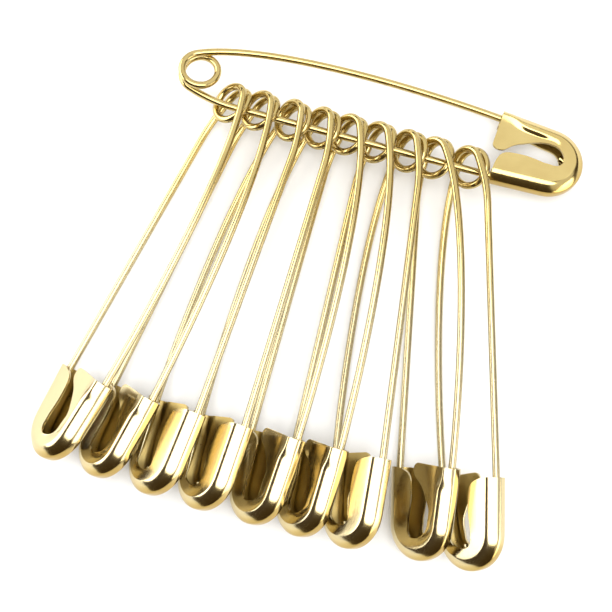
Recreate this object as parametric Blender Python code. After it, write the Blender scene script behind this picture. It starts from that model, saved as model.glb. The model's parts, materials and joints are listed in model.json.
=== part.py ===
"""A bunch of ten safety pins: nine closed pins strung by their coils on the back arm of a tenth.

Run with blender --background --python part.py. Lengths are metres, angles are degrees, +Z is up.
Each pin is one springy wire and one folded sheet clasp. A pin's own frame has its origin in the middle
of the coil, +X towards the nose of the clasp, +Y towards the needle, and +Z along the coil's axis.
"""

import math

import bmesh
import bpy
from mathutils import Matrix, Vector

# The wire and its coil
WIRE_DIA = 0.00088
COIL_RADIUS = 0.00215
TURN_GAP = 0.00047
NEEDLE_LEAVES_AT = 116.0
BACK_ARM_LEAVES_AT = 250.0
CURL_POINTS = 10
LEAST_TURN_GAP = 0.0004

# The pin's outline
PIN_LENGTH = 0.050
BACK_ARM_SLOPE = -1.15
BACK_ARM_LEAD = 0.0026
BACK_ARM_TAIL = 0.0018
BACK_ARM_STRAIGHT_FROM = 0.0052
NEEDLE_LEAD = 0.0085
NEEDLE_TAIL = 0.0110
NEEDLE_END_SLOPE = -6.0
NEEDLE_ARM_POINTS = 11
BACK_ARM_BEND_POINTS = 6
POINT_LENGTH = 0.0074
TIP_TAPER_LENGTH = 0.0042
TIP_DIA = 0.00016

# The clasp, folded from sheet
SHEET = 0.00030
CLASP_LENGTH = 0.0107
CLASP_MOUTH_WIDTH = 0.0095
CLASP_NOSE_RADIUS = 0.0043
CLASP_THICKNESS = 0.0030
CLASP_NOSE_OFFSET = 0.00035
FOLD_DEPTH = 0.00128
NOSE_RIM = 0.0026
FIN_WIDTH = 0.0055
LOBE_WIDTH = 0.0038
CRESCENT_WIDTH = 0.0019
NOSE_STATIONS = 10

# Clearances
WALL_GAP = 0.00014
JOIN_GAP = 0.00032

# The back arm's hook inside the nose
HOOK_TURN = 124.0
HOOK_END_RADIUS = 0.0025
HOOK_POINTS = 8

# Shares along each straight side of the clasp from its mouth, with shares of that flap's full width
FIN_SHARES = ((0, 0.92), (0.1, 1), (0.2, 0.97), (0.31, 0.78), (0.5, 0.62), (0.76, 0.46))
LOBE_SHARES = ((0, 0.42), (0.04, 0.66), (0.12, 0.88), (0.26, 0.98), (0.6, 1), (0.84, 0.92))
CRESCENT_SHARES = ((0, 0.87), (0.1, 0.9), (0.2, 0.92), (0.31, 0.94), (0.5, 0.97), (0.76, 1.05))

# Half the fold's section, from the flat to the ridge: shares of its depth and of half its height
FOLD_SHARES = ((1, 1), (0.6, 0.86), (0, 0.36))

# How the bunch lies: the rings along the carrier's back arm, the fan of the pins and their tilt
FIRST_RING_TUCK = 0.00019
LAST_RING_GAP = 0.00016
STRUNG_HEIGHT = 0.0032
RING_SLACK = 0.0003
RING_SHARES = (0, 0.12, 0.248, 0.374, 0.497, 0.62, 0.741, 0.862, 1)
FAN_DEGREES = (12.2, 8.9, 6.1, 3.1, -1.0, -3.5, -5.7, -12.6, -14.3)
TILT_DEGREES = (45, 44, 44, 44, 44, 47, 47, 44, 44)
FACE_A_UP = (True, True, False, False, True, True, False, True, False)

GOLD = (0.83, 0.66, 0.30, 1.0)
CLASP_GOLD = (0.86, 0.70, 0.35, 1.0)


def clear_scene():
    for old in list(bpy.data.objects):
        bpy.data.objects.remove(old)


def polished_metal(name, colour, roughness):
    material = bpy.data.materials.new(name)
    material.use_nodes = True
    shader = material.node_tree.nodes["Principled BSDF"]
    shader.inputs["Base Color"].default_value = colour
    shader.inputs["Metallic"].default_value = 1.0
    shader.inputs["Roughness"].default_value = roughness
    material.diffuse_color = colour
    return material


def heading(degrees):
    """A unit vector in the pin's plane, turned from +X towards +Y."""
    return Vector((math.cos(math.radians(degrees)), math.sin(math.radians(degrees)), 0))


def smooth_step(share):
    return share * share * (3 - 2 * share)


def bezier(start, start_way, start_reach, end, end_way, end_reach, count):
    """Points of a cubic curve that leaves start along start_way and arrives at end along end_way."""
    first = start + start_way * start_reach
    second = end - end_way * end_reach
    points = []
    for index in range(count):
        t = index / (count - 1)
        points.append(
            start * (1 - t) ** 3
            + first * 3 * t * (1 - t) ** 2
            + second * 3 * t * t * (1 - t)
            + end * t**3
        )
    return points


# The clasp's outline, in the pin's frame

MOUTH_X = PIN_LENGTH - COIL_RADIUS - WIRE_DIA / 2 - CLASP_LENGTH
NOSE_CENTRE = Vector((MOUTH_X + CLASP_LENGTH - CLASP_NOSE_RADIUS, -CLASP_NOSE_OFFSET, 0))
WIRE_INSET = SHEET + WALL_GAP + WIRE_DIA / 2
LAYER_RISE = (WIRE_DIA + TURN_GAP) / 2


def ring_reach(tilt_degrees):
    """How far a tilted ring reaches along the wire that it hangs on, from its middle."""
    tilt = math.radians(tilt_degrees)
    return COIL_RADIUS * math.cos(tilt) + LAYER_RISE * math.sin(tilt) + WIRE_DIA / 2


FIRST_RING = COIL_RADIUS + WIRE_DIA / 2 + ring_reach(TILT_DEGREES[0]) - FIRST_RING_TUCK
LAST_RING = MOUTH_X - ring_reach(TILT_DEGREES[-1]) - LAST_RING_GAP


def tangent_point(corner, side):
    """Where the straight side from a corner of the mouth meets the round of the nose."""
    reach = corner - NOSE_CENTRE
    swing = math.acos(CLASP_NOSE_RADIUS / reach.length)
    angle = math.atan2(reach.y, reach.x) - side * swing
    return NOSE_CENTRE + heading(math.degrees(angle)) * CLASP_NOSE_RADIUS


def clasp_sides():
    """The mouth corner and tangent point of the needle side, then of the back-arm side."""
    sides = {}
    for name, side in (("needle", 1), ("back", -1)):
        corner = Vector((MOUTH_X, side * CLASP_MOUTH_WIDTH / 2, 0))
        sides[name] = (corner, tangent_point(corner, side))
    return sides


def inward_of(side_name):
    """The way into the clasp from a straight side, square to it."""
    corner, meets = clasp_sides()[side_name]
    return (NOSE_CENTRE - meets).normalized()


def inset_point(side_name, share, inset):
    """A point inside a straight side of the clasp: share along it from the mouth, inset from its edge."""
    corner, meets = clasp_sides()[side_name]
    return corner.lerp(meets, share) + inward_of(side_name) * inset


def share_at(table, share):
    """Reads a share table between its rows."""
    for (low, low_value), (high, high_value) in zip(table, table[1:]):
        if share <= high:
            return low_value + (high_value - low_value) * (share - low) / (high - low)
    return table[-1][1]


def clasp_stations():
    """Rows of the clasp along its outline: a point, the way in, and the widths of its two flaps."""
    rows = []
    for share, fin_share in FIN_SHARES:
        corner, meets = clasp_sides()["needle"]
        crescent = CRESCENT_WIDTH * share_at(CRESCENT_SHARES, share)
        rows.append((corner.lerp(meets, share), inward_of("needle"), FIN_WIDTH * fin_share, crescent))
    start = clasp_sides()["needle"][1] - NOSE_CENTRE
    end = clasp_sides()["back"][1] - NOSE_CENTRE
    first_angle = math.degrees(math.atan2(start.y, start.x))
    last_angle = math.degrees(math.atan2(end.y, end.x))
    fin_end = FIN_WIDTH * FIN_SHARES[-1][1]
    lobe_end = LOBE_WIDTH * LOBE_SHARES[-1][1]
    crescent_end = CRESCENT_WIDTH * CRESCENT_SHARES[-1][1]
    for index in range(NOSE_STATIONS + 1):
        share = index / NOSE_STATIONS
        out = heading(first_angle + (last_angle - first_angle) * share)
        across = smooth_step(min(1, share * 2))
        onward = smooth_step(max(0, share * 2 - 1))
        fin_face = fin_end + (NOSE_RIM - fin_end) * across
        open_face = crescent_end + (NOSE_RIM - crescent_end) * across
        fin_face += (lobe_end - NOSE_RIM) * onward
        open_face += (lobe_end - NOSE_RIM) * onward
        rows.append((NOSE_CENTRE + out * CLASP_NOSE_RADIUS, -out, fin_face, open_face))
    for share, lobe_share in reversed(LOBE_SHARES):
        corner, meets = clasp_sides()["back"]
        lobe = LOBE_WIDTH * lobe_share
        rows.append((corner.lerp(meets, share), inward_of("back"), lobe, lobe))
    return rows


def fold_section():
    """The fold's section from one flat round the ridge to the other: depths in from the edge, heights."""
    upper = [(FOLD_DEPTH * deep, CLASP_THICKNESS / 2 * high) for deep, high in FOLD_SHARES]
    return upper + [(deep, -high) for deep, high in reversed(upper)]


def clasp_mesh(material):
    """The outer skin of the folded sheet as a grid: stations along the outline, steps round the fold."""
    model = bmesh.new()
    grid = []
    for point, inward, fin_face, open_face in clasp_stations():
        section = [(fin_face, CLASP_THICKNESS / 2)] + fold_section() + [(open_face, -CLASP_THICKNESS / 2)]
        row = [point + inward * deep + Vector((0, 0, high)) for deep, high in section]
        grid.append([model.verts.new(corner) for corner in row])
    for before, after in zip(grid, grid[1:]):
        for step in range(len(before) - 1):
            model.faces.new((before[step], before[step + 1], after[step + 1], after[step]))
    bmesh.ops.recalc_face_normals(model, faces=model.faces)
    outermost = max(model.faces, key=lambda face: face.calc_center_median().x)
    if outermost.normal.x < 0:
        bmesh.ops.reverse_faces(model, faces=model.faces)
    mesh = bpy.data.meshes.new("folded_clasp")
    model.to_mesh(mesh)
    model.free()
    mesh.materials.append(material)
    mesh.shade_smooth()
    mesh.set_sharp_from_angle(angle=math.radians(40))
    return mesh


def wire_curve(name, points, material, sides_level, radii=None):
    """A round wire along points, closed at both ends. sides_level 1 gives 6 sides and 2 gives 8."""
    curve = bpy.data.curves.new(name, "CURVE")
    curve.dimensions = "3D"
    curve.bevel_depth = WIRE_DIA / 2
    curve.bevel_resolution = sides_level
    curve.use_fill_caps = True
    spline = curve.splines.new("POLY")
    spline.points.add(len(points) - 1)
    for index, point in enumerate(points):
        spline.points[index].co = (point.x, point.y, point.z, 1)
        if radii:
            spline.points[index].radius = radii[index]
    spline.use_smooth = True
    curve.materials.append(material)
    return curve


# The wire's route, in the pin's frame


def coil_point(angle):
    """The coil's middle line. Its layers lie flat where they pass each other, and it climbs between them."""
    climb_from = BACK_ARM_LEAVES_AT
    climb_to = NEEDLE_LEAVES_AT + 360
    share = min(1, max(0, (angle - climb_from) / (climb_to - climb_from)))
    rise = LAYER_RISE * (1 - 2 * smooth_step(share))
    return heading(angle) * COIL_RADIUS + Vector((0, 0, rise))


def coil_points():
    total = BACK_ARM_LEAVES_AT + 360 - NEEDLE_LEAVES_AT
    count = math.ceil(total / 360 * CURL_POINTS) + 1
    trim = math.degrees(JOIN_GAP / COIL_RADIUS) / 2
    first = NEEDLE_LEAVES_AT + trim
    last = BACK_ARM_LEAVES_AT + 360 - trim
    return [coil_point(first + (last - first) * i / (count - 1)) for i in range(count)]


def off_plane(x, layer):
    """How far an arm still is from the middle plane: its layer at the coil, nothing at the clasp."""
    return layer * (1 - min(1, max(0, x / MOUTH_X)))


def sink_layers(points, layer):
    """Leads an arm from its layer of the coil to the middle plane, steadily along its length."""
    return [Vector((point.x, point.y, off_plane(point.x, layer))) for point in points]


def back_arm_start():
    return heading(BACK_ARM_LEAVES_AT) * COIL_RADIUS


def strung_line(x):
    """The straight stretch of the back arm, which the rings hang on and turn about."""
    mouth = inset_point("back", 0, WIRE_INSET)
    rise = (x - mouth.x) * math.tan(math.radians(BACK_ARM_SLOPE))
    return Vector((x, mouth.y + rise, off_plane(x, -LAYER_RISE)))


def back_arm_points():
    """From the coil through the bend, straight to the clasp, along its channel and curled in its nose."""
    leaving = heading(BACK_ARM_LEAVES_AT + 90)
    straight = strung_line(BACK_ARM_STRAIGHT_FROM)
    along = heading(BACK_ARM_SLOPE)
    start = back_arm_start() + leaving * JOIN_GAP / 2
    points = bezier(
        start, leaving, BACK_ARM_LEAD, straight, along, BACK_ARM_TAIL, BACK_ARM_BEND_POINTS
    )
    for share in (0, 0.5, 1):
        points.append(inset_point("back", share, WIRE_INSET))
    meets = clasp_sides()["back"][1] - NOSE_CENTRE
    first_angle = math.degrees(math.atan2(meets.y, meets.x))
    along_wall = CLASP_NOSE_RADIUS - WIRE_INSET
    for index in range(1, HOOK_POINTS + 1):
        share = index / HOOK_POINTS
        radius = along_wall + (HOOK_END_RADIUS - along_wall) * share * share
        points.append(NOSE_CENTRE + heading(first_angle + HOOK_TURN * share) * radius)
    return sink_layers(points, -LAYER_RISE)


def needle_route():
    """The needle's middle line from the coil to the clasp's mouth, and its straight end inside."""
    leaving = heading(NEEDLE_LEAVES_AT - 90)
    start = heading(NEEDLE_LEAVES_AT) * COIL_RADIUS + leaving * JOIN_GAP / 2
    mouth = inset_point("needle", 0, WIRE_INSET)
    along = heading(NEEDLE_END_SLOPE)
    end = mouth - along * JOIN_GAP
    arm = bezier(start, leaving, NEEDLE_LEAD, end, along, NEEDLE_TAIL, NEEDLE_ARM_POINTS)
    side = clasp_sides()["needle"]
    inside = (side[1] - side[0]).normalized()
    point = [
        mouth,
        mouth + inside * (POINT_LENGTH - TIP_TAPER_LENGTH),
        mouth + inside * (POINT_LENGTH - TIP_TAPER_LENGTH / 2),
        mouth + inside * POINT_LENGTH,
    ]
    return sink_layers(arm, LAYER_RISE), point


def least_gap_to_itself():
    """The least clear distance between the coil, with its two arms, and itself, measured on points."""
    arm = needle_route()[0]
    middle = list(reversed(arm[:3])) + coil_points() + back_arm_points()[:4]
    fine = []
    for before, after in zip(middle, middle[1:]):
        for step in range(4):
            fine.append(before.lerp(after, step / 4))
    along = [0.0]
    for before, after in zip(fine, fine[1:]):
        along.append(along[-1] + (after - before).length)
    half_turn = math.pi * COIL_RADIUS
    least = min(
        (fine[i] - fine[j]).length
        for i in range(len(fine))
        for j in range(i)
        if along[i] - along[j] > half_turn
    )
    return least - WIRE_DIA


def empty_at(name, matrix, parent):
    empty = bpy.data.objects.new(name, None)
    empty.empty_display_size = COIL_RADIUS
    bpy.context.scene.collection.objects.link(empty)
    place(empty, matrix, parent)
    return empty


def place(item, world, parent):
    """Puts an object at a matrix of the bunch's frame, under its parent empty."""
    item.parent = parent
    if parent:
        item.matrix_parent_inverse = Matrix.Identity(4)
        item.matrix_basis = frames[parent.name].inverted() @ world
    else:
        item.matrix_basis = world
    frames[item.name] = world


def add_pin(name, pin_frame, parent, shapes):
    """One closed pin. Its needle hangs on an empty on the coil's axis, so it can be opened."""
    opening = empty_at(name + "_opening", pin_frame, parent)
    for piece, shape in shapes.items():
        node = bpy.data.objects.new(name + "_" + piece, shape)
        bpy.context.scene.collection.objects.link(node)
        place(node, pin_frame, opening if piece.startswith("needle") else parent)
        if piece == "clasp":
            wall = node.modifiers.new("sheet", "SOLIDIFY")
            wall.thickness = SHEET
            wall.offset = -1
            wall.use_even_offset = True


def frame_from(x_way, z_way, origin):
    y_way = z_way.cross(x_way)
    columns = (x_way, y_way, z_way)
    frame = Matrix.Identity(4)
    for column, way in enumerate(columns):
        for row in range(3):
            frame[row][column] = way[row]
    frame.translation = origin
    return frame


def carrier_frame():
    """The strung line lies level along +X, held up by the rings, and the needle side leans on the table."""
    line = strung_line(MOUTH_X) - strung_line(0)
    levelled = line.rotation_difference(Vector((1, 0, 0))).to_matrix().to_4x4()
    fold = inset_point("needle", 0, FOLD_DEPTH)
    lever = levelled @ (fold - Vector((0, 0, CLASP_THICKNESS / 2)) - strung_line(fold.x))
    lean = math.atan2(lever.z, lever.y) + math.asin(STRUNG_HEIGHT / math.hypot(lever.y, lever.z))
    turned = Matrix.Rotation(-lean, 4, "X") @ levelled
    middle = turned @ strung_line((FIRST_RING + LAST_RING) / 2)
    return Matrix.Translation((0, -middle.y, STRUNG_HEIGHT - middle.z)) @ turned


def lowest_needs(tilt, low_side):
    """Places along a pin with the height that its coil's axis needs there to clear the table."""
    if low_side == "back":
        bow_x = (BACK_ARM_STRAIGHT_FROM + MOUTH_X) / 2
        bow = -strung_line(bow_x).y
    else:
        arm = needle_route()[0]
        widest = max(arm, key=lambda point: point.y)
        bow_x = widest.x
        bow = widest.y
    bow_need = bow * math.sin(tilt) + WIRE_DIA / 2
    fold_need = max(
        abs(inset_point(low_side, 0, deep).y) * math.sin(tilt) + high * math.cos(tilt)
        for deep, high in fold_section()
    )
    return ((bow_x, bow_need), (MOUTH_X, fold_need))


def strung_frame(index, carrier):
    """Where a strung pin lies: threaded on the back arm, fanned, tilted, its low side on the table."""
    ring_x = FIRST_RING + (LAST_RING - FIRST_RING) * RING_SHARES[index]
    on_arm = carrier @ strung_line(ring_x)
    fan = math.radians(FAN_DEGREES[index])
    tilt = math.radians(TILT_DEGREES[index])
    low_side = "back" if FACE_A_UP[index] else "needle"
    needs = lowest_needs(tilt, low_side)
    pitch = max(math.asin((need - on_arm.z) / reach) for reach, need in needs)
    along = Vector(
        (-math.sin(fan) * math.cos(pitch), -math.cos(fan) * math.cos(pitch), math.sin(pitch))
    )
    across = Vector((math.cos(fan), -math.sin(fan), 0))
    upward = along.cross(across)
    normal = upward * math.cos(tilt) - across * math.sin(tilt)
    if normal.z < 0:
        normal = -normal
    face = normal if FACE_A_UP[index] else -normal
    return on_arm, frame_from(along, face, on_arm - along * RING_SLACK)


def stand_on_origin(root):
    """Shifts the whole bunch so that its box stands on the origin."""
    bpy.context.view_layer.update()
    graph = bpy.context.evaluated_depsgraph_get()
    corners = []
    for item in bpy.data.objects:
        if item.type == "EMPTY":
            continue
        shown = item.evaluated_get(graph)
        mesh = shown.to_mesh()
        corners.extend(shown.matrix_world @ vertex.co for vertex in mesh.vertices)
        shown.to_mesh_clear()
    low = Vector(min(corner[axis] for corner in corners) for axis in range(3))
    high = Vector(max(corner[axis] for corner in corners) for axis in range(3))
    middle = (low + high) / 2
    root.location = (-middle.x, -middle.y, -low.z)


clear_scene()
frames = {}
wire_metal = polished_metal("polished_gold_wire", GOLD, 0.16)
clasp_metal = polished_metal("polished_gold_clasp", CLASP_GOLD, 0.14)

needle_arm, needle_point = needle_route()
tip_share = TIP_DIA / WIRE_DIA
pin_shapes = {
    "back_arm": wire_curve("back_arm", back_arm_points(), wire_metal, 2),
    "coil": wire_curve("coil", coil_points(), wire_metal, 1),
    "needle_arm": wire_curve("needle_arm", needle_arm, wire_metal, 2),
    "needle_point": wire_curve(
        "needle_point", needle_point, wire_metal, 2, (1, 1, 0.5 + tip_share / 2, tip_share)
    ),
    "clasp": clasp_mesh(clasp_metal),
}

bunch = empty_at("bunch", Matrix.Identity(4), None)
carrier_place = carrier_frame()
carrier_back = empty_at("carrier", carrier_place, bunch)
add_pin("carrier", carrier_place, carrier_back, pin_shapes)
for number in range(len(RING_SHARES)):
    hung_at, pin_place = strung_frame(number, carrier_place)
    name = "pin" + str(number + 1)
    swing = empty_at(name + "_swing", Matrix.Translation(hung_at), bunch)
    add_pin(name, pin_place, swing, pin_shapes)
stand_on_origin(bunch)

coil_gap = least_gap_to_itself()
print(f"coil pitch {1000 * 2 * LAYER_RISE:.2f} mm, least gap of the wire to itself {1000 * coil_gap:.3f} mm")
if coil_gap < LEAST_TURN_GAP:
    print("the coil's turns are nearer than they should be")
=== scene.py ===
"""The looks of a bunch of ten safety pins, nine of them strung by their coils on the tenth."""

import json
import math

import bmesh
import bpy
from mathutils import Matrix, Vector


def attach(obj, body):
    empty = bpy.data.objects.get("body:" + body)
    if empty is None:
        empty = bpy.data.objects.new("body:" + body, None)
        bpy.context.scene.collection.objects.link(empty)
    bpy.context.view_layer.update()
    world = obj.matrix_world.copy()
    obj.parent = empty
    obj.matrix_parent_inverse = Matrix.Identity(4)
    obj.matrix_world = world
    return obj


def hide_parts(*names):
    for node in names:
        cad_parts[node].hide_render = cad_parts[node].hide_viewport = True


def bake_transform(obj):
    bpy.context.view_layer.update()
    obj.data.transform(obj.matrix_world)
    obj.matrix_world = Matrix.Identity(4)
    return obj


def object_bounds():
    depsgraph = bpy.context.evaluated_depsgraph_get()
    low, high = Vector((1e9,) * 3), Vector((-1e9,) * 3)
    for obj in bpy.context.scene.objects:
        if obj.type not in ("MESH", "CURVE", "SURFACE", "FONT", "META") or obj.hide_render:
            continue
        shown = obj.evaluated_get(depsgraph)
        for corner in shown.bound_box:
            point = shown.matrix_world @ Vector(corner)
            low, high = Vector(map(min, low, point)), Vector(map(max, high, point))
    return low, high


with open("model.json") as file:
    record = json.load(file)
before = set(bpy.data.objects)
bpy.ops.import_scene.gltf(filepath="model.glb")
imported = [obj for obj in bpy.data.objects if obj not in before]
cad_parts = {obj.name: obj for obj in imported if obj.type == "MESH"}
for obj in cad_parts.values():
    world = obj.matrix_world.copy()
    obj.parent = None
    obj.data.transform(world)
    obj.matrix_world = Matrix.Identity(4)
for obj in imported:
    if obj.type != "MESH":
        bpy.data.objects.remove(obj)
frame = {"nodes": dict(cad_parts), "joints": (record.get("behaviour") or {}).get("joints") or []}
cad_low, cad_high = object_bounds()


# The table, the lights and the camera. The bunch lies on white paper, looked at from almost above.
# Broad soft lights stand on all sides but the near one, so the metal mirrors a dim warm room there,
# which draws the brown lines on it. Past the table's edge a plain white wall is seen.

TABLE_SIZE = 0.9
TABLE_GAP = 0.00002
VIEW_AZIMUTH = 15.1
VIEW_ELEVATION = 84.0
VIEW_DISTANCE = 0.165
VIEW_LENS = 80.4
VIEW_SENSOR = 36
VIEW_NEAREST = 0.005
VIEW_AIM = Vector((-0.00071, -0.00124, 0))

camera_data = bpy.data.cameras.new("camera")
camera_data.lens = VIEW_LENS
camera_data.sensor_width = VIEW_SENSOR
camera_data.clip_start = VIEW_NEAREST
camera = bpy.data.objects.new("camera", camera_data)
bpy.context.scene.collection.objects.link(camera)
azimuth = math.radians(VIEW_AZIMUTH)
elevation = math.radians(VIEW_ELEVATION)
back = Vector(
    (
        math.sin(azimuth) * math.cos(elevation),
        -math.cos(azimuth) * math.cos(elevation),
        math.sin(elevation),
    )
)
camera.location = VIEW_AIM + back * VIEW_DISTANCE
camera.rotation_mode = "QUATERNION"
camera.rotation_quaternion = (-back).to_track_quat("-Z", "Y")
bpy.context.scene.camera = camera
bpy.context.scene.view_settings.view_transform = "Standard"

table_mesh = bmesh.new()
bmesh.ops.create_grid(table_mesh, x_segments=1, y_segments=1, size=TABLE_SIZE / 2)
table_data = bpy.data.meshes.new("table_top")
table_mesh.to_mesh(table_data)
table_mesh.free()
table = bpy.data.objects.new("table_top", table_data)
bpy.context.scene.collection.objects.link(table)
table.location.z = cad_low.z - TABLE_GAP
table_paper = bpy.data.materials.new("white_paper")
table_paper.use_nodes = True
paper = table_paper.node_tree.nodes["Principled BSDF"]
paper.inputs["Base Color"].default_value = (0.96, 0.97, 0.98, 1)
paper.inputs["Roughness"].default_value = 0.75
table_data.materials.append(table_paper)

surround = bpy.data.worlds.new("surround")
surround.use_nodes = True
surround_nodes = surround.node_tree.nodes
surround_links = surround.node_tree.links
dim_room = surround_nodes["Background"]
dim_room.inputs["Color"].default_value = (1.0, 0.74, 0.46, 1)
dim_room.inputs["Strength"].default_value = 0.085
white_wall = surround_nodes.new("ShaderNodeBackground")
white_wall.inputs["Color"].default_value = (0.95, 0.95, 0.95, 1)
looked_at = surround_nodes.new("ShaderNodeLightPath")
room = surround_nodes.new("ShaderNodeMixShader")
surround_links.new(looked_at.outputs["Is Camera Ray"], room.inputs[0])
surround_links.new(dim_room.outputs[0], room.inputs[1])
surround_links.new(white_wall.outputs[0], room.inputs[2])
surround_links.new(room.outputs[0], surround_nodes["World Output"].inputs["Surface"])
bpy.context.scene.world = surround


def soft_light(name, place, width, height, brightness):
    """A broad oval soft light that faces the bunch. Brightness is how bright its face looks:
    a light of this shape sends out that much, times pi, from each bit of the oval's area."""
    light = bpy.data.lights.new(name, "AREA")
    light.shape = "ELLIPSE"
    light.size = width
    light.size_y = height
    light.energy = brightness * math.pi * width * height * math.pi / 4
    holder = bpy.data.objects.new(name, light)
    bpy.context.scene.collection.objects.link(holder)
    holder.location = place
    holder.rotation_mode = "QUATERNION"
    holder.rotation_quaternion = (-Vector(place)).to_track_quat("-Z", "Y")


soft_light("light_left", place=(-0.20, 0.03, 0.06), width=0.28, height=0.135, brightness=4.8)
soft_light("light_right", place=(0.21, -0.07, 0.055), width=0.24, height=0.11, brightness=4.0)
soft_light("light_right_dim", place=(0.30, -0.04, 0.26), width=0.50, height=0.34, brightness=0.8)
soft_light("light_above", place=(-0.01, -0.05, 0.50), width=0.66, height=0.34, brightness=4.5)
soft_light("light_behind", place=(0.0, 0.40, 0.36), width=1.10, height=0.84, brightness=1.15)


# The clasps. Each is one thin plated brass sheet, folded over along its outline: a channel on the
# back-arm side, the round nose, and a channel on the needle side. A grid is drawn out along it with
# bmesh, smoothed and given the sheet's thickness inwards, and its cut edges are broken.

PINS = ["carrier"] + ["pin" + str(number) for number in range(1, 10)]
WIRE_DIA = 0.00088
COIL_RADIUS = 0.00215
PIN_LENGTH = 0.050
NEEDLE_END_SLOPE = -6.0
JOIN_GAP = 0.00032
WALL_GAP = 0.00014
SHEET = 0.00030
CLASP_LENGTH = 0.0107
CLASP_MOUTH_WIDTH = 0.0095
CLASP_NOSE_RADIUS = 0.0043
CLASP_NOSE_OFFSET = 0.00035
CLASP_THICKNESS = 0.0030
FOLD_DEPTH = 0.00128
NOSE_RIM = 0.0026
FIN_WIDTH = 0.0055
LOBE_WIDTH = 0.0038
CRESCENT_WIDTH = 0.0019
NOSE_STATIONS = 18
CUT_EDGE = 0.00005

# Half the fold's section, from the flat to the ridge: shares of its depth and of half the thickness
FOLD_SHARES = (
    (1.1, 1), (0.98, 0.995), (0.8, 0.94), (0.6, 0.86), (0.3, 0.63), (0.04, 0.40), (0, 0.2),
)

# Shares across the flats at which the grid has a line, counted towards each flap's edge
NEAR_FLAT_SHARES = (1, 0.94, 0.5, 0.12, 0)
FAR_FLAT_SHARES = (0.5, 0.94, 1)

# Shares along each straight side from the mouth, with shares of that flap's full width
FIN_SHARES = (
    (0, 0.90), (0.02, 0.955), (0.05, 0.985), (0.1, 1), (0.17, 0.995), (0.23, 0.955), (0.29, 0.86),
    (0.35, 0.77), (0.42, 0.705), (0.5, 0.65), (0.62, 0.56), (0.75, 0.475), (0.9, 0.45),
)
LOBE_SHARES = (
    (0, 0.40), (0.02, 0.56), (0.05, 0.72), (0.09, 0.84), (0.14, 0.92), (0.21, 0.97),
    (0.30, 0.99), (0.44, 1), (0.6, 1), (0.8, 0.94), (0.9, 0.90),
)
CRESCENT_SHARES = (
    (0, 0.87), (0.1, 0.9), (0.2, 0.92), (0.31, 0.94), (0.5, 0.97), (0.76, 1.05), (0.9, 1.1),
)

# The fin is pressed lower than the rim beside it, deepest in the dimple beside the needle's point,
# and the window's rim is curled in from there round half the nose
PRESS_DEPTH = 0.00045
PRESS_SHARES = (
    (0, 0.62), (0.2, 0.7), (0.45, 0.95), (0.55, 1), (0.76, 1), (0.84, 0.75), (0.9, 0.46),
)
PRESS_FROM = 0.00100
PRESS_SLOPE = 0.00090
DIMPLE_FROM = 0.00165
DIMPLE_SLOPE = 0.00034
DIMPLE_START = 0.16
DIMPLE_FULL = 0.50
RIM_CURL_DEPTH = 0.00019
RIM_CURL_WIDTH = 0.00060
RIM_CURL_KEEP_SHARE = 0.1
RIM_CURL_WIDENING = 5
LOBE_PRESS_SHARE = 0.9
LOBE_SLOPE_SHARE = 0.05
SMOOTH_LEVELS = 2
CUT_EDGE_STEPS = 2
CUT_EDGE_ANGLE = 50
SAME_SPOT_DIGITS = 7

MOUTH_X = PIN_LENGTH - COIL_RADIUS - WIRE_DIA / 2 - CLASP_LENGTH
NOSE_CENTRE = Vector((MOUTH_X + CLASP_LENGTH - CLASP_NOSE_RADIUS, -CLASP_NOSE_OFFSET, 0))
WIRE_INSET = SHEET + WALL_GAP + WIRE_DIA / 2


def heading(degrees):
    """A way in the pin's own plane, turned that far from +X."""
    return Vector((math.cos(math.radians(degrees)), math.sin(math.radians(degrees)), 0))


def tangent_point(corner, side):
    """Where the straight side from a corner of the mouth meets the round of the nose."""
    reach = corner - NOSE_CENTRE
    swing = math.acos(CLASP_NOSE_RADIUS / reach.length)
    angle = math.atan2(reach.y, reach.x) - side * swing
    return NOSE_CENTRE + heading(math.degrees(angle)) * CLASP_NOSE_RADIUS


SIDES = {}
for side_name, side in (("needle", 1), ("back", -1)):
    mouth_corner = Vector((MOUTH_X, side * CLASP_MOUTH_WIDTH / 2, 0))
    SIDES[side_name] = (mouth_corner, tangent_point(mouth_corner, side))


def inward_of(side_name):
    """The way from a straight side into the clasp, square to that side."""
    return (NOSE_CENTRE - SIDES[side_name][1]).normalized()


def inset_point(side_name, share, inset):
    """A point inside a straight side: share along it from the mouth, inset from its edge."""
    corner, meets = SIDES[side_name]
    return corner.lerp(meets, share) + inward_of(side_name) * inset


def pin_frame(pin):
    """A pin's own frame: origin in the coil, +X to the nose, +Y to the needle, +Z along the coil.
    The opening hinge gives the origin and +Z, and the needle arm's far end the way it points."""
    joint = next(j for j in frame["joints"] if j["name"] == pin + "_opening")
    origin = Vector(joint["pos_m"])
    up = Vector(joint["axis"]).normalized()
    arm_mesh = frame["nodes"][pin + "_needle_arm"].data
    arm = {tuple(round(c, SAME_SPOT_DIGITS) for c in vertex.co) for vertex in arm_mesh.vertices}
    arm = [Vector(co) - origin for co in arm]
    farthest = max(co.length for co in arm)
    far_end = [co for co in arm if co.length > farthest - WIRE_DIA]
    middle = sum(far_end, Vector((0, 0, 0))) / len(far_end)
    middle -= up * middle.dot(up)
    expected = inset_point("needle", 0, WIRE_INSET) - heading(NEEDLE_END_SLOPE) * JOIN_GAP
    turn = Matrix.Rotation(-math.atan2(expected.y, expected.x), 3, up)
    along = (turn @ middle).normalized()
    across = up.cross(along)
    matrix = Matrix.Identity(4)
    for column, way in enumerate((along, across, up)):
        for row in range(3):
            matrix[row][column] = way[row]
    matrix.translation = origin
    return matrix


PLACES = {pin: pin_frame(pin) for pin in PINS}


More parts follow.
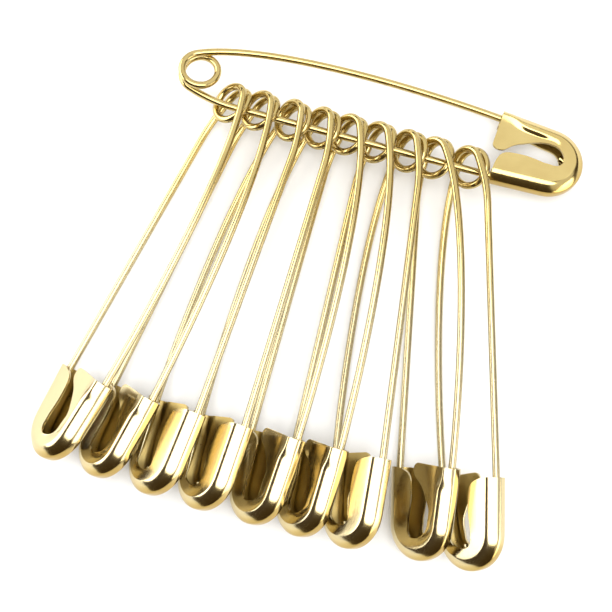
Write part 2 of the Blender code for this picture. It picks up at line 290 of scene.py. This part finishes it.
def share_at(table_of_shares, share):
    """The value at a share, read between the rows of a table of shares."""
    for (low, low_value), (high, high_value) in zip(table_of_shares, table_of_shares[1:]):
        if share <= high:
            return low_value + (high_value - low_value) * (share - low) / (high - low)
    return table_of_shares[-1][1]


def smooth_step(share):
    """0 up to a share of 0 and 1 from a share of 1, with a soft rise between."""
    share = min(1, max(0, share))
    return share * share * (3 - 2 * share)


# The plating: how the two golds share the drift, how far the grain moves the gloss, and its height
DRIFT_GRAINS = 12
DEEP_UP_TO_SHARE = 0.35
PALE_FROM_SHARE = 0.68
GLOSSY_SHARE = 0.7
DULL_SHARE = 1.4
RIPPLE_STRENGTH = 0.05
RIPPLE_HEIGHT = 0.00002


def gold(name, deep, pale, roughness, grain_scale):
    """Polished brass plate: two close golds in a slow drift, a faint grain in gloss and surface."""
    material = bpy.data.materials.new(name)
    material.use_nodes = True
    nodes = material.node_tree.nodes
    links = material.node_tree.links
    shader = nodes["Principled BSDF"]
    shader.inputs["Metallic"].default_value = 1.0
    place = nodes.new("ShaderNodeTexCoord")
    drift = nodes.new("ShaderNodeTexNoise")
    drift.inputs["Scale"].default_value = grain_scale / DRIFT_GRAINS
    drift.inputs["Detail"].default_value = 3
    links.new(place.outputs["Object"], drift.inputs["Vector"])
    shade = nodes.new("ShaderNodeValToRGB")
    shade.color_ramp.elements[0].position = DEEP_UP_TO_SHARE
    shade.color_ramp.elements[0].color = deep
    shade.color_ramp.elements[1].position = PALE_FROM_SHARE
    shade.color_ramp.elements[1].color = pale
    links.new(drift.outputs["Fac"], shade.inputs["Fac"])
    links.new(shade.outputs["Color"], shader.inputs["Base Color"])
    grain = nodes.new("ShaderNodeTexNoise")
    grain.inputs["Scale"].default_value = grain_scale
    grain.inputs["Detail"].default_value = 4
    links.new(place.outputs["Object"], grain.inputs["Vector"])
    gloss = nodes.new("ShaderNodeMapRange")
    gloss.name = "gloss"
    gloss.inputs["To Min"].default_value = roughness * GLOSSY_SHARE
    gloss.inputs["To Max"].default_value = roughness * DULL_SHARE
    links.new(grain.outputs["Fac"], gloss.inputs["Value"])
    links.new(gloss.outputs["Result"], shader.inputs["Roughness"])
    ripple = nodes.new("ShaderNodeBump")
    ripple.inputs["Strength"].default_value = RIPPLE_STRENGTH
    ripple.inputs["Distance"].default_value = RIPPLE_HEIGHT
    links.new(grain.outputs["Fac"], ripple.inputs["Height"])
    links.new(ripple.outputs["Normal"], shader.inputs["Normal"])
    return material


def tint(material, attribute_name, colour):
    """Mixes the base colour towards another one, as far as an attribute of the mesh says.
    A colour mix has its two colours in sockets 6 and 7 and its result in output 2."""
    nodes = material.node_tree.nodes
    links = material.node_tree.links
    base = nodes["Principled BSDF"].inputs["Base Color"]
    share = nodes.new("ShaderNodeAttribute")
    share.attribute_name = attribute_name
    mixed = nodes.new("ShaderNodeMix")
    mixed.data_type = "RGBA"
    links.new(share.outputs["Fac"], mixed.inputs["Factor"])
    links.new(base.links[0].from_socket, mixed.inputs[6])
    mixed.inputs[7].default_value = colour
    links.new(mixed.outputs[2], base)
    return share


clasp_gold = gold(
    "clasp_gold",
    deep=(0.60, 0.46, 0.18, 1),
    pale=(0.67, 0.53, 0.22, 1),
    roughness=0.16,
    grain_scale=2600,
)
# The sheet's inner skin: a rougher plating, painted darker as painted shade in the clasp's hollow.
clasp_inside_painted_shade = gold(
    "clasp_inside_painted_shade",
    deep=(0.36, 0.265, 0.09, 1),
    pale=(0.56, 0.44, 0.18, 1),
    roughness=0.30,
    grain_scale=1500,
)

# Painted shade and painted light on the clasps: a darker gold is painted along the ridge, on the
# hanging clasps only round the nose, as painted shade, the shaded floor mirrored there; the rest of
# the hanging clasps is painted paler, as painted light. Each tone holds and then fades over shares
# of the fold's depth in from the ridge, and NOSE_FADE says how quickly it comes in round the nose.
RIDGE_PAINTED_SHADE_SHARE = 0.12
RIDGE_PAINTED_SHADE_FADE_SHARE = 0.42
RIDGE_KEPT_SHARE = 0.3
RIDGE_KEPT_FADE_SHARE = 0.6
NOSE_FADE = 1.5
# Painted light: the paler gold on the hanging clasps. Painted shade: the darker gold on the ridge.
tint(clasp_gold, "painted_light_paler", (0.61, 0.51, 0.29, 1))
tint(clasp_gold, "painted_shade_deeper", (0.44, 0.30, 0.085, 1))


def clasp_stations():
    """Rows along the outline: a point, the way in, the two flap widths, and the fin's press there:
    how deep it is, how far in its slope starts and how wide the slope is."""
    rows = []
    inward = inward_of("needle")
    for share, fin_share in FIN_SHARES:
        corner, meets = SIDES["needle"]
        crescent = CRESCENT_WIDTH * share_at(CRESCENT_SHARES, share)
        dimple = smooth_step((share - DIMPLE_START) / (DIMPLE_FULL - DIMPLE_START))
        press = (
            PRESS_DEPTH * share_at(PRESS_SHARES, share),
            PRESS_FROM + (DIMPLE_FROM - PRESS_FROM) * dimple,
            PRESS_SLOPE + (DIMPLE_SLOPE - PRESS_SLOPE) * dimple,
        )
        rows.append((corner.lerp(meets, share), inward, FIN_WIDTH * fin_share, crescent, press))
    start = SIDES["needle"][1] - NOSE_CENTRE
    end = SIDES["back"][1] - NOSE_CENTRE
    first_angle = math.degrees(math.atan2(start.y, start.x))
    last_angle = math.degrees(math.atan2(end.y, end.x))
    fin_end = FIN_WIDTH * FIN_SHARES[-1][1]
    lobe_end = LOBE_WIDTH * LOBE_SHARES[-1][1]
    crescent_end = CRESCENT_WIDTH * CRESCENT_SHARES[-1][1]
    for index in range(NOSE_STATIONS + 1):
        share = index / NOSE_STATIONS
        out = heading(first_angle + (last_angle - first_angle) * share)
        across = smooth_step(share * 2)
        onward = smooth_step(share * 2 - 1)
        fin_face = fin_end + (NOSE_RIM - fin_end) * across + (lobe_end - NOSE_RIM) * onward
        open_face = crescent_end + (NOSE_RIM - crescent_end) * across
        open_face += (lobe_end - NOSE_RIM) * onward
        curl = RIM_CURL_DEPTH * (1 - smooth_step(2 * share - RIM_CURL_KEEP_SHARE))
        widen = smooth_step(RIM_CURL_WIDENING * share)
        curl_from = DIMPLE_FROM + (fin_face - RIM_CURL_WIDTH - DIMPLE_FROM) * widen
        press = (curl, curl_from, DIMPLE_SLOPE + (RIM_CURL_WIDTH - DIMPLE_SLOPE) * widen)
        rows.append((NOSE_CENTRE + out * CLASP_NOSE_RADIUS, -out, fin_face, open_face, press))
    for share, lobe_share in reversed(LOBE_SHARES):
        corner, meets = SIDES["back"]
        lobe = LOBE_WIDTH * lobe_share
        press_from = min(DIMPLE_FROM, lobe * LOBE_PRESS_SHARE)
        press = (0, press_from, min(DIMPLE_SLOPE, lobe * LOBE_SLOPE_SHARE))
        rows.append((corner.lerp(meets, share), inward_of("back"), lobe, lobe, press))
    return rows


def section_of(point, inward, fin_face, open_face, press):
    """The sheet's outer skin across one row, from one flap's edge round the ridge to the other."""
    up = Vector((0, 0, 1))
    half = CLASP_THICKNESS / 2
    deep, press_from, slope = press
    foot = min(press_from + slope, fin_face - CUT_EDGE)
    top = min(press_from, foot - CUT_EDGE)
    spots = []
    for share in NEAR_FLAT_SHARES:
        spots.append(point + inward * (foot + (fin_face - foot) * share) + up * (half - deep))
    spots.append(point + inward * top + up * half)
    start = min(FOLD_DEPTH * FOLD_SHARES[0][0], top)
    for share, high in FOLD_SHARES:
        spots.append(point + inward * start * share / FOLD_SHARES[0][0] + up * half * high)
    spots.append(point)
    for share, high in reversed(FOLD_SHARES):
        spots.append(point + inward * FOLD_DEPTH * share - up * half * high)
    flat_from = FOLD_DEPTH * FOLD_SHARES[0][0]
    for share in FAR_FLAT_SHARES:
        spots.append(point + inward * (flat_from + (open_face - flat_from) * share) - up * half)
    return spots


def clasp_piece(pin):
    """One pin's folded clasp, with its painted shade and painted light at each corner."""
    hanging = pin != "carrier"
    rows = clasp_stations()
    stations = [section_of(*row) for row in rows]
    model = bmesh.new()
    painted_shade_deeper = model.verts.layers.float.new("painted_shade_deeper")
    painted_light_paler = model.verts.layers.float.new("painted_light_paler")
    corners = [model.verts.new(spot) for spot in stations[0]]
    edges = [model.edges.new(pair) for pair in zip(corners, corners[1:])]
    for (edge_point, inward, *_), station in zip(rows, stations):
        if station is not stations[0]:
            drawn = bmesh.ops.extrude_edge_only(model, edges=edges)
            new_corners = [item for item in drawn["geom"] if isinstance(item, bmesh.types.BMVert)]
            edges = [item for item in drawn["geom"] if isinstance(item, bmesh.types.BMEdge)]
            edges = [edge for edge in edges if all(end in new_corners for end in edge.verts)]
            follow = {}
            for corner in new_corners:
                joined = [link.other_vert(corner) for link in corner.link_edges]
                old = next(other for other in joined if other in corners)
                follow[corners.index(old)] = corner
            corners = [follow[index] for index in range(len(station))]
        for corner, spot in zip(corners, station):
            corner.co = spot
            inset = (spot - edge_point).dot(inward) / FOLD_DEPTH
            # Painted shade: a darker gold near the ridge. Painted light: the rest of each hanging
            # clasp paler.
            nose = smooth_step(-NOSE_FADE * inward.x) if hanging else 1
            deep = 1 - smooth_step((inset - RIDGE_PAINTED_SHADE_SHARE) / RIDGE_PAINTED_SHADE_FADE_SHARE)
            kept = 1 - smooth_step((inset - RIDGE_KEPT_SHARE) / RIDGE_KEPT_FADE_SHARE)
            corner[painted_shade_deeper] = nose * deep
            corner[painted_light_paler] = 1 - nose * kept if hanging else 0
    bmesh.ops.recalc_face_normals(model, faces=model.faces)
    outermost = max(model.faces, key=lambda face: face.calc_center_median().x)
    if outermost.normal.x < 0:
        bmesh.ops.reverse_faces(model, faces=model.faces)
    bmesh.ops.transform(model, matrix=PLACES[pin], verts=model.verts)
    mesh = bpy.data.meshes.new(pin + "_folded_clasp")
    model.to_mesh(mesh)
    model.free()
    mesh.materials.append(clasp_gold)
    mesh.materials.append(clasp_inside_painted_shade)
    mesh.shade_smooth()
    piece = bpy.data.objects.new(pin + "_folded_clasp", mesh)
    bpy.context.scene.collection.objects.link(piece)
    smooth = piece.modifiers.new("smooth", "SUBSURF")
    smooth.levels = SMOOTH_LEVELS
    smooth.render_levels = SMOOTH_LEVELS
    wall = piece.modifiers.new("sheet", "SOLIDIFY")
    wall.thickness = SHEET
    wall.offset = -1
    wall.use_even_offset = True
    # The inner skin takes the second material, painted darker as shade.
    wall.material_offset = 1
    edge = piece.modifiers.new("cut_edge", "BEVEL")
    edge.width = CUT_EDGE
    edge.segments = CUT_EDGE_STEPS
    edge.limit_method = "ANGLE"
    edge.angle_limit = math.radians(CUT_EDGE_ANGLE)
    return piece


for pin in PINS:
    clasp = clasp_piece(pin)
    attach(clasp, pin)
    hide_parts(pin + "_clasp")


# The wires. Each pin is bent from one springy drawn wire, plated like its clasp: a back arm hooked
# round inside the nose, a coil of about one and a half turns, and the bowed needle with its ground
# point. Each stretch is a round-bevelled curve made into a mesh.

TURN_GAP = 0.00047
NEEDLE_LEAVES_AT = 116.0
BACK_ARM_LEAVES_AT = 250.0
BACK_ARM_SLOPE = -1.15
BACK_ARM_LEAD = 0.0026
BACK_ARM_TAIL = 0.0018
BACK_ARM_STRAIGHT_FROM = 0.0052
NEEDLE_LEAD = 0.0085
NEEDLE_TAIL = 0.0110
POINT_LENGTH = 0.0074
TIP_TAPER_LENGTH = 0.0042
TIP_DIA = 0.00012
HOOK_TURN = 124.0
HOOK_END_RADIUS = 0.0016
LAYER_RISE = (WIRE_DIA + TURN_GAP) / 2
TAPER_POWER = 1.3
WIRE_SIDES_LEVEL = 10
SHARP_ANGLE = 60
COIL_STEPS = 112
BEND_POINTS = 24
STRAIGHT_STEPS = 9
CHANNEL_STEPS = 6
HOOK_STEPS = 30
NEEDLE_POINTS = 64
POINT_STEPS = 24

wire_gold = gold(
    "wire_gold",
    deep=(0.52, 0.40, 0.155, 1),
    pale=(0.59, 0.46, 0.195, 1),
    roughness=0.15,
    grain_scale=3200,
)
wire_nodes = wire_gold.node_tree.nodes
wire_links = wire_gold.node_tree.links

# The gold is deep and bright on the carrier and round every coil. Down the hanging arms it is
# painted paler, as painted light, and gets less glossy, over these distances from the coil
PALE_FROM = 0.006
PALE_FULL = 0.022
PALE_DULLING = 0.10
fade = tint(wire_gold, "painted_light_paler", (0.48, 0.41, 0.245, 1))
soften = wire_nodes.new("ShaderNodeMath")
soften.operation = "MULTIPLY_ADD"
soften.inputs[1].default_value = PALE_DULLING
wire_links.new(fade.outputs["Fac"], soften.inputs[0])
wire_links.new(wire_nodes["gloss"].outputs["Result"], soften.inputs[2])
wire_links.new(soften.outputs["Value"], wire_nodes["Principled BSDF"].inputs["Roughness"])


def bezier(start, start_way, start_reach, end, end_way, end_reach, count):
    """Points of a curve that leaves start along start_way and arrives at end along end_way."""
    first = start + start_way * start_reach
    second = end - end_way * end_reach
    points = []
    for index in range(count):
        t = index / (count - 1)
        points.append(
            start * (1 - t) ** 3
            + first * 3 * t * (1 - t) ** 2
            + second * 3 * t * t * (1 - t)
            + end * t**3
        )
    return points


def off_plane(x, layer):
    """How far an arm is from the middle plane: its layer at the coil, nothing at the clasp."""
    return layer * (1 - min(1, max(0, x / MOUTH_X)))


def coil_route():
    """The coil from the needle's layer round and down to the back arm's."""
    total = BACK_ARM_LEAVES_AT + 360 - NEEDLE_LEAVES_AT
    points = []
    for index in range(COIL_STEPS + 1):
        angle = NEEDLE_LEAVES_AT + total * index / COIL_STEPS
        climb = (angle - BACK_ARM_LEAVES_AT) / (total - (BACK_ARM_LEAVES_AT - NEEDLE_LEAVES_AT))
        rise = LAYER_RISE * (1 - 2 * smooth_step(climb))
        points.append(heading(angle) * COIL_RADIUS + Vector((0, 0, rise)))
    return points


def back_arm_route():
    """The back arm from the coil along its channel and round inside the nose."""
    leaving = heading(BACK_ARM_LEAVES_AT + 90)
    slope = heading(BACK_ARM_SLOPE)
    mouth = inset_point("back", 0, WIRE_INSET)
    rise = (BACK_ARM_STRAIGHT_FROM - mouth.x) * math.tan(math.radians(BACK_ARM_SLOPE))
    straight = Vector((BACK_ARM_STRAIGHT_FROM, mouth.y + rise, 0))
    start = heading(BACK_ARM_LEAVES_AT) * COIL_RADIUS
    points = bezier(start, leaving, BACK_ARM_LEAD, straight, slope, BACK_ARM_TAIL, BEND_POINTS)
    for index in range(1, STRAIGHT_STEPS + 1):
        points.append(straight.lerp(mouth, index / STRAIGHT_STEPS))
    for index in range(1, CHANNEL_STEPS + 1):
        points.append(inset_point("back", index / CHANNEL_STEPS, WIRE_INSET))
    meets = SIDES["back"][1] - NOSE_CENTRE
    first_angle = math.degrees(math.atan2(meets.y, meets.x))
    along_wall = CLASP_NOSE_RADIUS - WIRE_INSET
    for index in range(1, HOOK_STEPS + 1):
        share = index / HOOK_STEPS
        radius = along_wall + (HOOK_END_RADIUS - along_wall) * share * share
        points.append(NOSE_CENTRE + heading(first_angle + HOOK_TURN * share) * radius)
    return [Vector((p.x, p.y, off_plane(p.x, -LAYER_RISE))) for p in points]


def needle_route():
    """The needle from the coil to its tip, with the share of the full thickness at each point."""
    leaving = heading(NEEDLE_LEAVES_AT - 90)
    start = heading(NEEDLE_LEAVES_AT) * COIL_RADIUS
    mouth = inset_point("needle", 0, WIRE_INSET)
    slope = heading(NEEDLE_END_SLOPE)
    arm = bezier(start, leaving, NEEDLE_LEAD, mouth, slope, NEEDLE_TAIL, NEEDLE_POINTS)
    points = [Vector((p.x, p.y, off_plane(p.x, LAYER_RISE))) for p in arm]
    thickness = [1.0] * len(points)
    corner, meets = SIDES["needle"]
    inside = (meets - corner).normalized()
    for index in range(1, POINT_STEPS + 1):
        reach = POINT_LENGTH * index / POINT_STEPS
        points.append(mouth + inside * reach)
        ground = max(0, (reach - (POINT_LENGTH - TIP_TAPER_LENGTH)) / TIP_TAPER_LENGTH)
        thickness.append(1 - (1 - TIP_DIA / WIRE_DIA) * ground**TAPER_POWER)
    return points, thickness


def wire_piece(name, pin, points, thickness=None):
    """A stretch of round wire through points in the pin's own frame, as a mesh in the world's."""
    curve = bpy.data.curves.new(name, "CURVE")
    curve.dimensions = "3D"
    curve.bevel_depth = WIRE_DIA / 2
    curve.bevel_resolution = WIRE_SIDES_LEVEL
    curve.use_fill_caps = True
    spline = curve.splines.new("POLY")
    spline.points.add(len(points) - 1)
    for index, point in enumerate(points):
        spot = PLACES[pin] @ point
        spline.points[index].co = (spot.x, spot.y, spot.z, 1)
        if thickness:
            spline.points[index].radius = thickness[index]
    holder = bpy.data.objects.new(name + "_curve", curve)
    bpy.context.scene.collection.objects.link(holder)
    bevelled = holder.evaluated_get(bpy.context.evaluated_depsgraph_get())
    mesh = bpy.data.meshes.new_from_object(bevelled)
    bpy.data.objects.remove(holder)
    mesh.name = name
    mesh.materials.clear()
    mesh.materials.append(wire_gold)
    mesh.shade_smooth()
    mesh.set_sharp_from_angle(angle=math.radians(SHARP_ANGLE))
    # Painted light: the hanging arms are painted paler further from the coil.
    if pin != "carrier":
        painted_light_paler = mesh.attributes.new("painted_light_paler", "FLOAT", "POINT")
        for index, vertex in enumerate(mesh.vertices):
            away = (vertex.co - PLACES[pin].translation).length
            painted_light_paler.data[index].value = smooth_step((away - PALE_FROM) / (PALE_FULL - PALE_FROM))
    piece = bpy.data.objects.new(name, mesh)
    bpy.context.scene.collection.objects.link(piece)
    return piece


for pin in PINS:
    back_arm = wire_piece(pin + "_back_arm_wire", pin, back_arm_route())
    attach(back_arm, pin)
    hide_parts(pin + "_back_arm")

    needle_points, needle_thickness = needle_route()
    needle = wire_piece(pin + "_needle_wire", pin, needle_points, needle_thickness)
    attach(needle, pin + "_needle")
    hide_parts(pin + "_needle_arm", pin + "_needle_point")

    coil = wire_piece(pin + "_coil_wire", pin, coil_route())
    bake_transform(coil)
    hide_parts(pin + "_coil")
